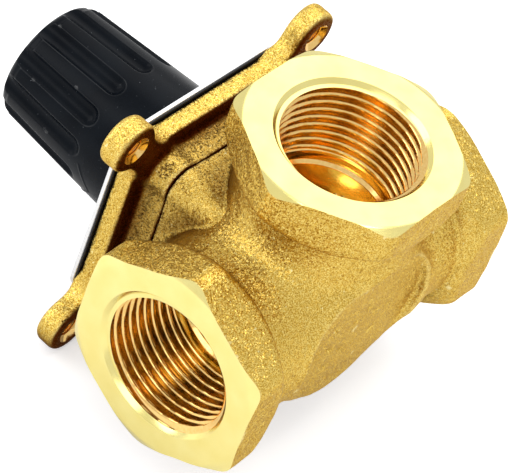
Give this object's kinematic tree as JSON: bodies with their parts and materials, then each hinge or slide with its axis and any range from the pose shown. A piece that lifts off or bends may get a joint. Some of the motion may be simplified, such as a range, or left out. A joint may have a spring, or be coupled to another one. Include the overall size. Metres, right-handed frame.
{
  "type": "three way valve",
  "caption": "Brass three way rotary mixing valve with hexagon threaded ports, eared bonnet plate and a fluted black hand knob that turns the rotor.",
  "frame": {"origin": "centre of the body's flat foot, on the stem axis; the three port axes meet 18.5 mm in front of it, at (0, -0.0185, 0)", "axes": "+Z along the branch port, outwards and up; +X along the right-hand run port, outwards; -Y along the stem, towards the knob"},
  "size_m": [0.086, 0.0984, 0.0781],
  "materials": {
    "forged_brass": "sand-blasted forging, fine grain, satin",
    "turned_brass": "bright turned",
    "steel": "zinc plated",
    "scale_aluminium": "satin sheet with a printed scale",
    "rubber": "matt moulded",
    "ptfe": "waxy white",
    "knob_plastic": "moulded, satin with a fine grain",
    "hub_plastic": "glass-filled moulding",
    "black_sheet": "thin sheet"
  },
  "bodies": {
    "housing": {"valve_body": "forged_brass", "bonnet": "forged_brass", "bonnet_o_ring": "rubber", "bonnet_screw_1": "steel", "bonnet_screw_2": "steel", "bonnet_screw_3": "steel", "bonnet_screw_4": "steel", "stem_bush": "ptfe", "thrust_washer": "ptfe", "foot_washer": "ptfe", "backing_sheet": "black_sheet", "scale_plate": "scale_aluminium", "stop_pin": "steel"},
    "spindle": {"rotor": "turned_brass", "drive_pin": "steel", "stem": "turned_brass", "stem_o_ring_lower": "rubber", "stem_o_ring_upper": "rubber", "circlip": "steel", "knob_adapter": "hub_plastic", "knob_grip": "knob_plastic", "knob_screw": "steel", "knob_cap": "knob_plastic"}
  },
  "joints": [
    {"name": "knob_turn", "type": "hinge", "parent": "housing", "child": "spindle", "pos_m": [0, -0.0185, 0], "axis": [0, -1, 0], "range_deg": [-21, 69]}
  ]
}
